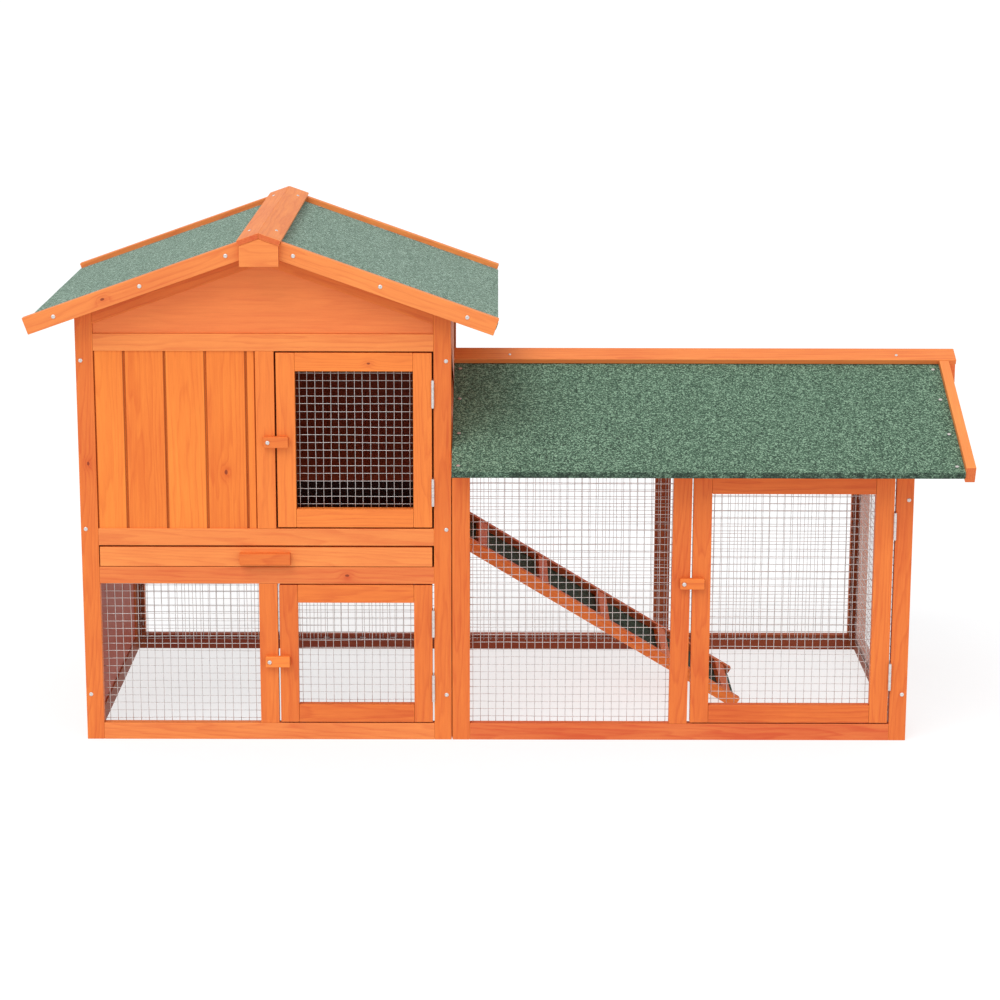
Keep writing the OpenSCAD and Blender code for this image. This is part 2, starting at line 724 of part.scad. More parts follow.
front_left_post();
front_right_post();
house_front_rails();
centre_stiles();
front_boards();
gable_panels();
house_rafters();
house_back_posts();
house_back_rails();
back_boards();
left_side_frame();
left_side_boards();
right_side_frame();
right_side_boards();
house_front_mesh();
house_back_mesh();
tray_runners();
house_roof_boards();
house_roof_felt();
house_barge_boards();
house_ridge_cap();
house_ridge_blocks();
run_front_posts();
run_front_rails();
run_back_posts();
run_back_rails();
run_side_frame();
run_rafters();
run_gable_panel();
run_front_mesh();
run_back_mesh();
run_side_mesh();
run_roof_boards();
run_roof_felt();
run_barge_boards();
run_ridge_cap();
run_ridge_block();
frame_screws();
felt_tacks();
button_screws();
hinge_fixed_leaves();
hinge_pins();
upper_door_frame();
upper_door_mesh();
upper_door_hinges();
lower_door_frame();
lower_door_mesh();
lower_door_hinges();
run_door_frame();
run_door_mesh();
run_door_hinges();
upper_turn_button();
lower_turn_button();
run_turn_button();
tray_front();
tray_handle();
tray_pan();
ramp_deck();
ramp_rails();
ramp_fittings();
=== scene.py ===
import json
import math
import random

import bmesh
import bpy
from mathutils import Matrix, Vector, noise


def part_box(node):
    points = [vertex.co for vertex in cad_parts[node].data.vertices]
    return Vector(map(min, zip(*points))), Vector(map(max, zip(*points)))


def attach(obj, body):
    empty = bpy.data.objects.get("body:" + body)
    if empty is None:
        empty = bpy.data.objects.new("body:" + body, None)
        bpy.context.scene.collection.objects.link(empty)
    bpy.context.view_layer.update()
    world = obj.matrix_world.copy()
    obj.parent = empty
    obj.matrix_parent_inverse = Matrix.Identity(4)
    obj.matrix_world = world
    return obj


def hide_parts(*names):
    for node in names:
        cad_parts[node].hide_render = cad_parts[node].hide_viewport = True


# The looks of the rabbit hutch: each piece is made from its CAD node, in the CAD's frame, in metres.

MM = 0.001
WELD = 0.002 * MM
SHARP = math.radians(40)
X, Y, Z = Vector((1, 0, 0)), Vector((0, 1, 0)), Vector((0, 0, 1))

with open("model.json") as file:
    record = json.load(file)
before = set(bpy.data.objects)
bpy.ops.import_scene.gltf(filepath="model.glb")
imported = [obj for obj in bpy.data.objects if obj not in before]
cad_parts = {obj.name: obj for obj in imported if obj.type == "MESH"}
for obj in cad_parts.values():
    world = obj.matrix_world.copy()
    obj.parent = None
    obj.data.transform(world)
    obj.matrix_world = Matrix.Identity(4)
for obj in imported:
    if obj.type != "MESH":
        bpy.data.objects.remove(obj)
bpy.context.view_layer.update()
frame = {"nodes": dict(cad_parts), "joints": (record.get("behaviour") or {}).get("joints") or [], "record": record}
BODY = {node: body for body, nodes in frame["record"]["behaviour"]["bodies"].items() for node in nodes}

# ---- Camera, light and floor ----

# The camera's place in metres, its angles in radians and its lens in mm, fitted to the photo.
EYE = Vector((-0.0133, -4.5732, 1.3951))
TILT = math.radians(12.97)
YAW = 0.0014
ROLL = 0.0024
LENS = 98.2
SENSOR_WIDTH = 36
FLOOR_SIZE = 160
FLOOR_GLOW = 0.74


def make_camera():
    look = Vector((math.sin(YAW) * math.cos(TILT), math.cos(YAW) * math.cos(TILT), -math.sin(TILT)))
    level = Vector((math.cos(YAW), -math.sin(YAW), 0))
    upright = level.cross(look)
    right = math.cos(ROLL) * level + math.sin(ROLL) * upright
    up = math.cos(ROLL) * upright - math.sin(ROLL) * level
    camera = bpy.data.objects.new("camera", bpy.data.cameras.new("camera"))
    bpy.context.scene.collection.objects.link(camera)
    camera.data.lens = LENS
    camera.data.sensor_width = SENSOR_WIDTH
    camera.matrix_world = Matrix.Translation(EYE) @ Matrix((right, up, -look)).transposed().to_4x4()
    bpy.context.scene.camera = camera


def add_sun(name, azimuth, elevation, strength, spread):
    """A soft lamp, angles in degrees. Azimuth 0 shines from the front and 90 from the house's end."""
    a, e = math.radians(azimuth), math.radians(elevation)
    towards = Vector((-math.sin(a) * math.cos(e), -math.cos(a) * math.cos(e), math.sin(e)))
    lamp = bpy.data.lights.new(name, "SUN")
    lamp.energy = strength
    lamp.angle = math.radians(spread)
    sun = bpy.data.objects.new(name, lamp)
    sun.rotation_mode = "QUATERNION"
    sun.rotation_quaternion = towards.to_track_quat("Z", "Y")
    bpy.context.scene.collection.objects.link(sun)


def make_studio():
    """White surroundings, two lamps, and a floor that glows enough to stay near white in the shade."""
    world = bpy.data.worlds.new("studio")
    world.use_nodes = True
    background = world.node_tree.nodes["Background"]
    background.inputs["Color"].default_value = (1.0, 0.99, 0.98, 1)
    background.inputs["Strength"].default_value = 0.8
    bpy.context.scene.world = world
    bpy.context.scene.view_settings.view_transform = "Standard"
    add_sun("key", 32, 52, 1.45, 40)
    add_sun("fill", -40, 30, 0.4, 60)
    bpy.ops.mesh.primitive_plane_add(size=FLOOR_SIZE)
    floor = bpy.context.object
    floor.name = "floor"
    g = Graph("floor_paper")
    spots = g.noise(g.position(), 40, 2)
    g.put("Base Color", g.mix(spots, (0.23, 0.24, 0.25, 1), (0.25, 0.26, 0.27, 1)))
    g.shader.inputs["Roughness"].default_value = 0.9
    g.shader.inputs["Emission Color"].default_value = (1, 1, 1, 1)
    g.shader.inputs["Emission Strength"].default_value = FLOOR_GLOW
    floor.data.materials.append(g.material)


# ---- Material graphs ----


class Signal:
    """A shader output that takes arithmetic."""

    def __init__(self, graph, socket):
        self.graph, self.socket = graph, socket

    def step(self, operation, *others):
        node = self.graph.add("Math", dict(enumerate([self, *others])), operation=operation)
        return Signal(self.graph, node.outputs[0])

    def __add__(self, other):
        return self.step("ADD", other)

    def __sub__(self, other):
        return self.step("SUBTRACT", other)

    def __mul__(self, other):
        return self.step("MULTIPLY", other)

    def __truediv__(self, other):
        return self.step("DIVIDE", other)

    def __pow__(self, other):
        return self.step("POWER", other)

    def fract(self):
        return self.step("FRACT")

    def clamp(self):
        return self.step("MAXIMUM", 0.0).step("MINIMUM", 1.0)

    def bell(self):
        """1 at zero, falling smoothly to nothing by about 2."""
        return (self * self * -1.0).step("EXPONENT")


class Graph:
    """One material and short calls that add shader nodes to it."""

    def __init__(self, name):
        self.material = bpy.data.materials.new(name)
        self.material.use_nodes = True
        self.tree = self.material.node_tree
        self.shader = self.tree.nodes["Principled BSDF"]

    def add(self, kind, inputs, **settings):
        node = self.tree.nodes.new("ShaderNode" + kind)
        for key, value in settings.items():
            setattr(node, key, value)
        for key, value in inputs.items():
            self.fill(node.inputs[key], value)
        return node

    def fill(self, socket, value):
        value = value.socket if isinstance(value, Signal) else value
        if isinstance(value, bpy.types.NodeSocket):
            self.tree.links.new(value, socket)
        else:
            socket.default_value = value

    def put(self, name, value):
        self.fill(self.shader.inputs[name], value)

    def position(self):
        return self.add("TexCoord", {}).outputs["Object"]

    def attribute(self, name, output="Fac"):
        return Signal(self, self.add("Attribute", {}, attribute_name=name).outputs[output])

    def stretch(self, vector, scale):
        node = self.add("VectorMath", {0: vector, 1: scale}, operation="MULTIPLY")
        return node.outputs[0]

    def split(self, vector):
        node = self.add("SeparateXYZ", {0: vector})
        return [Signal(self, output) for output in node.outputs]

    def noise(self, vector, scale, detail=3, roughness=0.5):
        inputs = {"Vector": vector, "Scale": scale, "Detail": detail, "Roughness": roughness}
        return Signal(self, self.add("TexNoise", inputs).outputs[0])

    def cells(self, vector, scale):
        """Distance within each Voronoi cell, and the cell's own random number."""
        node = self.add("TexVoronoi", {"Vector": vector, "Scale": scale})
        return Signal(self, node.outputs["Distance"]), self.split(node.outputs["Color"])[0]

    def mix(self, factor, low, high):
        node = self.add("Mix", {0: factor, 6: low, 7: high}, data_type="RGBA")
        return node.outputs[2]

    def ramp(self, factor, *stops):
        """Stops are (place, grey or colour)."""
        node = self.add("ValToRGB", {0: factor})
        points = node.color_ramp.elements
        while len(points) < len(stops):
            points.new(1.0)
        for point, (place, value) in zip(points, stops):
            point.position = place
            point.color = value if isinstance(value, tuple) else (value, value, value, 1)
        return Signal(self, node.outputs[0])

    def bump(self, height, distance, strength):
        node = self.add("Bump", {"Height": height, "Distance": distance, "Strength": strength})
        self.put("Normal", node.outputs[0])


def stain(red, green, blue):
    """A colour given in 0-255 display values, as linear light."""

    def linear(value):
        v = value / 255
        return v / 12.92 if v <= 0.04045 else ((v + 0.055) / 1.055) ** 2.4

    return linear(red), linear(green), linear(blue), 1.0


KNOT_STAIN = stain(118, 46, 28)
PORE_STAIN = stain(150, 56, 26)
VEE_STAIN = stain(120, 42, 20)
# Painted shade for the faces that look into the hutch, which the roof and walls keep from the light.
INSIDE_SHADE = stain(92, 36, 26)
BOARD_INSIDE_SHADE = stain(158, 58, 38)


def wood_material(name, light, dark, ring_width=2.7 * MM, figure=1.0, inside=INSIDE_SHADE):
    """Stained fir, read from what the mesh holds: each board's grain coordinates, tone and knot, and which faces
    are rounded edges, sawn ends, inner faces and vee joints. Rounded edges come out lighter, with wear and a
    painted highlight, and inner faces darker with painted shade. figure is the strength of the rings."""
    g = Graph(name)
    grain = g.attribute("grain", "Vector")
    along, across, deep = g.split(grain.socket)
    knot_x, knot_y, knot_r = g.split(g.attribute("knot", "Vector").socket)
    tone, edge, end, inner, vee = (g.attribute(key) for key in ("tone", "edge", "end", "inner", "vee"))
    streaks = g.stretch(grain.socket, (0.045, 1, 1))
    slow = g.noise(g.stretch(grain.socket, (0.12, 1, 1)), 55, 2)
    fibre = g.noise(streaks, 900, 4, 0.65)
    coarse = g.noise(streaks, 210, 3, 0.6)
    blotch = g.noise(g.stretch(grain.socket, (0.35, 1, 1)), 16, 3)
    dx = (along - knot_x) * 0.62
    dy = across - knot_y
    reach = (dx * dx + dy * dy) ** 0.5 / knot_r
    swirl = (reach * 0.36).bell()
    radius = (across * across + deep * deep) ** 0.5
    rings = (radius / ring_width + slow * 2.6 + swirl * 1.5).fract()
    latewood = g.ramp(rings, (0.0, 0.10), (0.55, 0.22), (0.88, 1.0), (1.0, 0.12))
    knot = g.ramp(reach + fibre * 0.5, (0.95, 1.0), (1.45, 0.0))
    shade = latewood * 0.21 * figure + fibre * 0.42 + coarse * 0.5 + blotch * 0.5 + tone * 0.85 - 0.76
    # Rounded edges come out lighter: wear and a painted highlight.
    shade = (shade + end * 0.45 + swirl * 0.28 - edge * 0.12).clamp()
    colour = g.mix(shade, light, dark)
    colour = g.mix(knot * 0.8, colour, KNOT_STAIN)
    pores = g.ramp(fibre, (0.30, 1.0), (0.42, 0.0))
    colour = g.mix(pores * 0.17, colour, PORE_STAIN)
    # Inner faces take a painted shade.
    colour = g.mix(inner, colour, inside)
    colour = g.mix(vee * 0.55, colour, VEE_STAIN)
    g.put("Base Color", colour)
    g.put("Roughness", fibre * 0.22 + 0.44)
    g.bump(fibre * 0.6 + latewood * 0.35 + coarse * 0.3 - knot * 0.3, 0.12 * MM, 0.8)
    g.shader.inputs["Specular IOR Level"].default_value = 0.25
    return g.material


def felt_material(name, dark, middle, light, grit=1.9 * MM):
    """Bitumen felt covered with mineral granules, with a patchy painted shade where it turns down over an edge."""
    g = Graph(name)
    place = g.position()
    up = g.split(g.add("NewGeometry", {}).outputs["Normal"])[2]
    depth, pick = g.cells(place, 1 / grit)
    fine_depth, fine_pick = g.cells(place, 2.3 / grit)
    clumps = g.noise(place, 260, 2, 0.6)
    weather = g.noise(place, 7, 3)
    level = pick * 0.62 + fine_pick * 0.34 + clumps * 0.5 - 0.22
    granules = g.ramp(level, (0.16, dark), (0.44, middle), (0.56, middle), (0.84, light))
    colour = g.mix(weather * 0.25, granules.socket, middle)
    # Painted shade, broken into patches, on the faces that turn down over an edge.
    shade_patches = g.ramp(g.noise(place, 55, 3, 0.6), (0.40, 0.25), (0.60, 0.95))
    fold = g.ramp(up, (0.55, 0.75), (0.80, 0.0)) * shade_patches
    g.put("Base Color", g.mix(fold, colour, dark))
    g.put("Roughness", pick * 0.2 + 0.78)
    g.bump(depth * -0.7 - fine_depth * 0.4 + clumps * 0.3, 0.5 * MM, 0.9)
    g.shader.inputs["Specular IOR Level"].default_value = 0.3
    return g.material


def metal_material(name, low, high, roughness, patch=260, metallic=1.0):
    """Metal with a mottled surface and a fine spangle, or paint on it."""
    g = Graph(name)
    place = g.position()
    spangle = g.cells(place, patch)[1]
    cloud = g.noise(place, patch * 3, 3)
    g.put("Base Color", g.mix(spangle * 0.5 + cloud * 0.5, low, high))
    g.put("Roughness", cloud * 0.2 + roughness)
    g.bump(cloud, 0.03 * MM, 0.4)
    g.shader.inputs["Metallic"].default_value = metallic
    return g.material


# ---- Mesh work ----


def finish_object(name, mesh, material, node, smooth=True):
    """Links a finished mesh, with its material, as a piece that rides with a CAD node's body."""
    mesh.materials.append(material)
    if smooth:
        mesh.polygons.foreach_set("use_smooth", [True] * len(mesh.polygons))
    piece = bpy.data.objects.new(name, mesh)
    bpy.context.scene.collection.objects.link(piece)
    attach(piece, BODY[node])
    return piece


def soften_normals(piece):
    piece.modifiers.new("even_shading", "WEIGHTED_NORMAL").keep_sharp = True


def positive(direction):
    """The direction or its opposite, whichever has its largest part positive."""
    return direction if max(direction, key=abs) > 0 else -direction


def new_bmesh():
    """An empty bmesh with the layers that the wood materials read."""
    bm = bmesh.new()
    for name in ("grain", "knot"):
        bm.verts.layers.float_vector.new(name)
    bm.verts.layers.float.new("tone")
    for name in ("edge", "end", "inner", "vee"):
        bm.faces.layers.float.new(name)
    return bm


def clean_copy(node):
    """A CAD node as a bmesh with one vertex per corner and one face per flat."""
    bm = new_bmesh()
    bm.from_mesh(frame["nodes"][node].data)
    bmesh.ops.remove_doubles(bm, verts=bm.verts, dist=WELD)
    bmesh.ops.dissolve_limit(bm, angle_limit=math.radians(0.5), verts=bm.verts, edges=bm.edges)
    return bm


def islands(bm):
    """The separate solids of a bmesh as lists of vertices, in order of their centres. It walks the mesh in
    the mesh's own order, so that every run gives the same lists."""
    seen, found = set(), []
    for first in bm.verts:
        if first in seen:
            continue
        seen.add(first)
        members = [first]
        for vertex in members:
            for e in vertex.link_edges:
                other = e.other_vert(vertex)
                if other not in seen:
                    seen.add(other)
                    members.append(other)
        found.append(members)
    return sorted(found, key=whole_mm)


def whole_mm(verts):
    """The centre of the vertices in whole mm. Centres lie on half mm, which this rounding keeps apart."""
    return [math.floor(c / MM + 0.3) for c in centre_of(verts)]


def centre_of(verts):
    return sum((v.co for v in verts), Vector()) / len(verts)


class Board:
    """One board's own directions, worked out from its longest edge and its largest face."""

    def __init__(self, verts):
        faces = [f for v in verts for f in v.link_faces]
        longest = max((e for v in verts for e in v.link_edges), key=lambda e: e.calc_length())
        self.along = positive((longest.verts[1].co - longest.verts[0].co).normalized())
        self.thick = positive(max(faces, key=lambda f: f.calc_area()).normal.copy())
        self.across = positive(self.thick.cross(self.along).normalized())
        self.span = [self.reach(verts, axis) for axis in (self.along, self.across, self.thick)]

    @staticmethod
    def reach(verts, axis):
        places = [v.co.dot(axis) for v in verts]
        return min(places), max(places)


KNOT_CHANCE = 0.07
NO_KNOT = Vector((0, -9, MM))


def set_grain(bm, verts, board, rng, tone, knot=None):
    """Writes the grain coordinates, tone and knot of one board onto its vertices. A knot is (share along,
    share across, radius in mm). None leaves it to chance, and () keeps the board clear."""
    layers = bm.verts.layers
    grain, knots = layers.float_vector["grain"], layers.float_vector["knot"]
    tones = layers.float["tone"]
    shift = Vector((rng.uniform(1, 9), rng.uniform(-0.02, 0.02), rng.uniform(0.03, 0.075)))
    lean = rng.uniform(-0.03, 0.03)
    bend = rng.uniform(-0.012, 0.012)
    starts = [low for low, _ in board.span]
    lengths = [high - low for low, high in board.span]
    shift.y -= lengths[1] * 0.5
    if knot is None and rng.random() < KNOT_CHANCE:
        knot = (rng.uniform(0.1, 0.9), rng.uniform(0.25, 0.75), rng.uniform(1.6, 3.2))
    value = rng.uniform(-0.12, 0.12) + tone

    def local(along, across, thick):
        return Vector((along + shift.x, across + shift.y + along * bend, thick + shift.z + along * lean))

    place = NO_KNOT
    if knot:
        place = local(knot[0] * lengths[0], knot[1] * lengths[1], 0)
        place.z = knot[2] * MM
    axes = (board.along, board.across, board.thick)
    for v in verts:
        v[grain] = local(*(v.co.dot(axis) - start for axis, start in zip(axes, starts)))
        v[knots] = place
        v[tones] = value


def bevel_edges(bm, width, least=math.radians(20)):
    """Rounds every real edge, and marks the rounding, which wood comes out lighter on, with wear and a painted
    highlight.
    """
    wear_and_highlight = bm.faces.layers.float["edge"]
    edges = [e for e in bm.edges if e.is_manifold and e.calc_face_angle() > least]
    made = bmesh.ops.bevel(
        bm, geom=edges, offset=width, segments=2, profile=0.6, affect="EDGES", clamp_overlap=True
    )
    for face in made["faces"]:
        face[wear_and_highlight] = 1.0


def mark_ends(bm, board_of_face):
    """Marks the faces that cut across their board's grain."""
    ends = bm.faces.layers.float["end"]
    for face in bm.faces:
        board = board_of_face(face)
        face[ends] = 1.0 if abs(face.normal.dot(board.along)) > 0.9 else 0.0


def to_mesh(bm, name):
    mesh = bpy.data.meshes.new(name)
    bmesh.ops.recalc_face_normals(bm, faces=bm.faces)
    bm.to_mesh(mesh)
    bm.free()
    return mesh


def timber(node, material, tone, knots=(), shifts=(), reshape=None, shade=None, name=None):
    """The node's boards with rounded edges and a grain of their own. Replaces the CAD node. knots and
    shifts go by board number: a knot for set_grain, and what is added to the node's tone. reshape moves
    a board's vertices, and shade says how far a face takes the inner colour, a painted shade."""
    rng = random.Random(node)
    bm = clean_copy(node)
    knots, shifts = dict(knots), dict(shifts)
    boards = []
    for verts in islands(bm):
        board = Board(verts)
        if reshape:
            reshape(board, verts)
            board = Board(verts)
        boards.append(board)
    bevel_edges(bm, 1.1 * MM)
    owner = {}
    for index, (verts, board) in enumerate(zip(islands(bm), boards)):
        set_grain(bm, verts, board, rng, tone + shifts.get(index, 0), knots.get(index))
        owner.update((v, board) for v in verts)
    mark_ends(bm, lambda face: owner[face.verts[0]])
    # Inner faces take the inner colour: painted shade.
    if shade:
        bm.normal_update()
        inner = bm.faces.layers.float["inner"]
        for face in bm.faces:
            face[inner] = shade(face)
    name = name or node + "_timber"
    piece = finish_object(name, to_mesh(bm, name), material, node)
    soften_normals(piece)
    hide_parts(node)


def turned_from(outward):
    """Painted shade on the faces that look into the hutch, and a little on those beside them."""

    def shade(face):
        facing = face.normal.dot(outward)
        if facing < -0.5:
            return 0.72
        return 0.3 if facing < 0.5 else 0.0

    return shade


def facing_middle(node):
    """Painted shade on the faces that look across at the node's middle."""
    low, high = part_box(node)

    def shade(face):
        inward = (low.y + high.y) / 2 - face.calc_center_median().y
        return 0.55 if abs(face.normal.y) > 0.5 and face.normal.y * inward > 0 else 0.0

    return shade


def tongued_outline(width, thick, tongue, groove):
    """A matchboard's section: vee-edged face at +thick/2, tongue at +width/2, groove at -width/2."""
    w, t = width / 2, thick / 2
    vee = 2.0 * MM
    half, out = 1.5 * MM, 3.0 * MM
    play = 0.2 * MM
    points = [(-w, -t), (w, -t)]
    if tongue:
        points += [(w, -half), (w + out, play - half), (w + out, half - play), (w, half)]
    points += [(w, t - vee), (w - vee, t), (vee - w, t), (-w, t - vee)]
    if groove:
        slack, bottom = half + play, out - w + 0.3 * MM
        points += [(-w, slack), (bottom, slack), (bottom, -slack), (-w, -slack)]
    return points


def matchboards(node, material, tone, outward, knots=()):
    """Rebuilds rows of upright boards as tongued and grooved ones, with their vee joints outward."""
    rng = random.Random(node)
    source = clean_copy(node)
    bm = new_bmesh()
    knots = dict(knots)
    boards = [Board(verts) for verts in islands(source)]
    source.free()
    owner = {}
    for index, board in enumerate(boards):
        (z0, z1), (c0, c1), (t0, t1) = board.span
        level = [b for b in boards if min(abs(b.span[0][0] - z0), abs(b.span[0][1] - z1)) < 5 * MM]
        last = max(b.span[1][1] for b in level) - c1 < MM
        first = c0 - min(b.span[1][0] for b in level) < MM
        face = board.thick if board.thick.dot(outward) > 0 else -board.thick
        centre = board.across * (c0 + c1) / 2 + board.thick * (t0 + t1) / 2
        centre += face * rng.uniform(-0.35, 0.0) * MM
        outline = tongued_outline(c1 - c0, t1 - t0, not last, not first)
        rings = [
            [bm.verts.new(centre + board.along * z + board.across * a + face * t) for a, t in outline]
            for z in (z0, z1)
        ]
        for i in range(len(outline)):
            j = (i + 1) % len(outline)
            bm.faces.new((rings[0][i], rings[0][j], rings[1][j], rings[1][i]))
        bm.faces.new(rings[0])
        bm.faces.new(rings[1][::-1])
        verts = rings[0] + rings[1]
        set_grain(bm, verts, board, rng, tone, knots.get(index, ()))
        owner.update((v, board) for v in verts)
    bmesh.ops.recalc_face_normals(bm, faces=bm.faces)
    mark_ends(bm, lambda face: owner[face.verts[0]])
    inner, vee = (bm.faces.layers.float[key] for key in ("inner", "vee"))
    for face in bm.faces:
        facing = face.normal.dot(outward)
        # Faces that look into the hutch take the inner colour, a painted shade.
        face[inner] = 0.85 if facing < -0.9 else 0.0
        face[vee] = 1.0 if 0.2 < facing < 0.9 else 0.0
    name = node + "_matched"
    piece = finish_object(name, to_mesh(bm, name), material, node, smooth=False)
    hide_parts(node)


def slice_grid(bm, board, pitch):
    """Cuts the solid into a grid along and across, so that it can undulate."""
    for axis, (low, high) in zip((board.along, board.across), board.span):
        count = max(2, round((high - low) / pitch))
        for i in range(1, count):
            geom = bm.verts[:] + bm.edges[:] + bm.faces[:]
            place = axis * (low + (high - low) * i / count)
            bmesh.ops.bisect_plane(bm, geom=geom, plane_co=place, plane_no=axis)


def felt_sheets(node, material, name, reshape=None, pitch=14 * MM):
    """The node's felt as sheets with soft edges, which wave a little and only inwards."""
    source = clean_copy(node)
    joined = new_bmesh()
    for verts in islands(source):
        board = Board(verts)
        if reshape:
            reshape(board, verts)
            board = Board(verts)
        part = new_bmesh()
        twins = {v: part.verts.new(v.co) for v in verts}
        for face in dict.fromkeys(f for v in verts for f in v.link_faces):
            part.faces.new([twins[v] for v in face.verts])
        bmesh.ops.recalc_face_normals(part, faces=part.faces)
        slice_grid(part, board, pitch)
        bevel_edges(part, 0.5 * MM, SHARP)
        part.normal_update()
        for v in part.verts:
            swell = noise.noise(v.co * 19) * 0.5 + noise.noise(v.co * 90) * 0.3
            v.co -= v.normal * (0.45 + 0.45 * swell) * MM
        mesh = bpy.data.meshes.new("sheet")
        part.to_mesh(mesh)
        part.free()
        joined.from_mesh(mesh)
        bpy.data.meshes.remove(mesh)
    source.free()
    piece = finish_object(name, to_mesh(joined, name), material, node)
    soften_normals(piece)
    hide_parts(node)


class Shape:
    """Collects vertices and faces of round bars and turned parts."""

    def __init__(self):
        self.verts, self.faces = [], []

    def skin(self, count, sides, start):
        """Joins rings of vertices into a wall, with a face at either end."""
        for i in range(count - 1):
            for k in range(sides):
                a, b = start + i * sides + k, start + i * sides + (k + 1) % sides
                self.faces.append((a, b, b + sides, a + sides))
        last = start + (count - 1) * sides
        self.faces.append(tuple(range(start, start + sides))[::-1])
        self.faces.append(tuple(range(last, last + sides)))

    def tube(self, path, flat, radius, sides=6):
        """A closed round bar along a path that lies in a plane with the normal flat."""
        start = len(self.verts)
        for i, point in enumerate(path):
            ahead = path[min(i + 1, len(path) - 1)] - path[max(i - 1, 0)]
            side = ahead.cross(flat).normalized()
            for k in range(sides):
                a = 2 * math.pi * k / sides
                self.verts.append(point + (side * math.cos(a) + flat * math.sin(a)) * radius)
        self.skin(len(path), sides, start)

    def turned(self, profile, place, dent=None, sides=20):
        """A turned solid about Z, moved by the matrix place. The profile runs from the low end to the top,
        and dent says how far the head is sunk at a point."""
        start = len(self.verts)
        for r, z in profile:
            for k in range(sides):
                a = 2 * math.pi * k / sides
                x, y = r * math.cos(a), r * math.sin(a)
                self.verts.append(place @ Vector((x, y, z - (dent(x, y) if dent and z > 0 else 0))))
        self.skin(len(profile), sides, start)

    def mesh(self, name):
        mesh = bpy.data.meshes.new(name)
        mesh.from_pydata(self.verts, [], self.faces)
        bm = bmesh.new()
        bm.from_mesh(mesh)
        bmesh.ops.remove_doubles(bm, verts=bm.verts, dist=0.001 * MM)
        bmesh.ops.recalc_face_normals(bm, faces=bm.faces)
        bm.to_mesh(mesh)
        bm.free()
        return mesh


# ---- Wire mesh ----

WIRE_PITCH = 12.7 * MM
WIRE_R = 0.48 * MM
STAPLE_R = 0.55 * MM


def wire_offset(rng):
    """How far one wire strays from its straight line, as a function of the distance along it."""
    phase, size = rng.uniform(0, 100), rng.uniform(0.25, 0.55) * MM

    def stray(s):
        sway = noise.noise(Vector((phase, s * 9, 0))) * size * 2
        kink = noise.noise(Vector((0, phase, s * 60))) * size * 0.5
        return sway + kink

    return stray


def staple(shape, centre, edge, away):
    """A staple over the outermost wire: its crown runs along the edge, its legs go back into the frame."""
    reach, leg = edge * 5 * MM, away * 3 * MM
    path = [centre - reach - leg, centre - reach, centre + reach, centre + reach - leg]
    shape.tube(path, edge.cross(away), STAPLE_R)


def welded_mesh(node, material, away_sign):
    """Round welded wires with their staples. away_sign is the way along the thin axis, 1 or -1, that leads
    off the frame."""
    rng = random.Random(node)
    low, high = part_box(node)
    size = high - low
    thin = min(range(3), key=lambda i: size[i])
    level = X if thin == 1 else Y
    away = (X if thin == 0 else Y) * away_sign
    width, height = size.dot(level), size.z
    back = low.dot(away) if away_sign > 0 else high.dot(away)
    origin = level * low.dot(level) + Z * low.z + away * (back + WIRE_R)
    shape = Shape()

    def row(run, step, run_len, step_len, lift):
        count = math.floor((step_len - 2 * WIRE_R) / WIRE_PITCH)
        first = (step_len - count * WIRE_PITCH) / 2
        pieces = max(2, round(run_len / (WIRE_PITCH * 1.5)))
        for i in range(count + 1):
            stray = wire_offset(rng)
            path = []
            for k in range(pieces + 1):
                s = run_len * k / pieces
                path.append(origin + run * s + step * (first + i * WIRE_PITCH + stray(s)) + away * lift)
            shape.tube(path, away, WIRE_R)

    row(Z, level, height, width, 0)
    row(level, Z, width, height, WIRE_R * 1.75)
    inset, spacing, crown = 4.5 * MM, 62 * MM, WIRE_R * 3.4
    for edge, length, ends in ((level, width, (inset, height - inset)), (Z, height, (inset, width - inset))):
        other = Z if edge is level else level
        count = max(2, round(length / spacing))
        for end in ends:
            for k in range(count):
                s = length * (k + 0.5) / count + rng.uniform(-5, 5) * MM
                staple(shape, origin + edge * s + other * end + away * crown, edge, away)
    name = node + "_wires"
    piece = finish_object(name, shape.mesh(name), material, node)
    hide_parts(node)


# ---- Fasteners ----


def cross_recess(reach, half, depth):
    """The sunk cross of a screw head, as its depth at a point."""

    def dent(x, y):
        in_cross = min(abs(x), abs(y)) < half and max(abs(x), abs(y)) < reach
        return depth if in_cross else 0

    return dent


def axis_of(points):
    """The centre of a fixing's points and the direction in which they spread most."""
    centre = sum(points, Vector()) / len(points)
    guess = max(points, key=lambda p: (p - centre).length) - centre
    for _ in range(30):
        total = Vector()
        for p in points:
            d = p - centre
            total += d * d.dot(guess)
        guess = total.normalized()
    return centre, guess


def fixings(node, material, name, profile_of, dent=None):
    """Replaces a node of turned fixings with finely made ones on the same axes."""
    bm = clean_copy(node)
    shape = Shape()
    for verts in islands(bm):
        points = [v.co.copy() for v in verts]
        centre, axis = axis_of(points)
        radii = [((p - centre) - axis * (p - centre).dot(axis)).length for p in points]
        rim = max(radii)
        head = [p for p, r in zip(points, radii) if r > rim * 0.97]
        hub = sum(head, Vector()) / len(head)
        foot = (hub - centre).dot(axis)
        if foot < 0:
            axis, foot = -axis, -foot
        line = [(p - centre).dot(axis) for p in points]
        place = Matrix.Translation(hub) @ axis.to_track_quat("Z", "Y").to_matrix().to_4x4()
        shape.turned(profile_of(rim, max(line) - foot, foot - min(line)), place, dent)
    bm.free()
    piece = finish_object(name, shape.mesh(name), material, node)
    soften_normals(piece)
    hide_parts(node)


